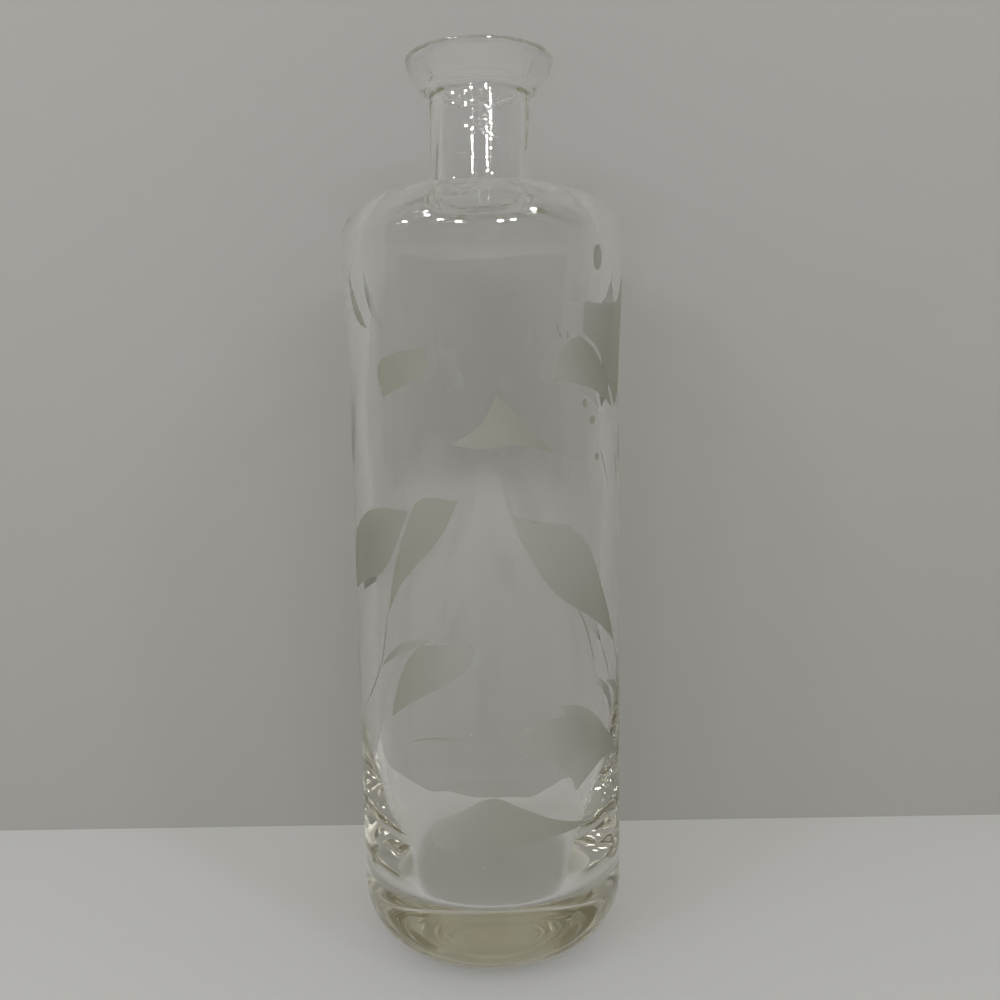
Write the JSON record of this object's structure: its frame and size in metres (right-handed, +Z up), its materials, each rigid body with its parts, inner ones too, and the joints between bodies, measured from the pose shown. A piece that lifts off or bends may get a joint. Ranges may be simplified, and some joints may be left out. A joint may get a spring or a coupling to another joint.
{
  "type": "glass decanter",
  "caption": "Straight-sided clear glass decanter with a thick rounded base, rounded shoulder, short neck and flared pouring lip, for holding and pouring drinks.",
  "frame": {"origin": "centre of the flat foot, on the surface that the decanter stands on", "axes": "+Z up along the decanter's axis, from the foot to the mouth; -Y faces the viewer of the picture"},
  "size_m": [0.0806, 0.0806, 0.2557],
  "materials": {
    "thick_glass": "polished clear glass, faint olive cast",
    "clear_glass": "polished clear glass, faint olive cast, etched leaves on the body"
  },
  "bodies": {
    "root": {"heavy_base": "thick_glass", "body_wall": "clear_glass", "shoulder": "clear_glass", "neck": "clear_glass", "pouring_lip": "clear_glass"}
  },
  "joints": []
}
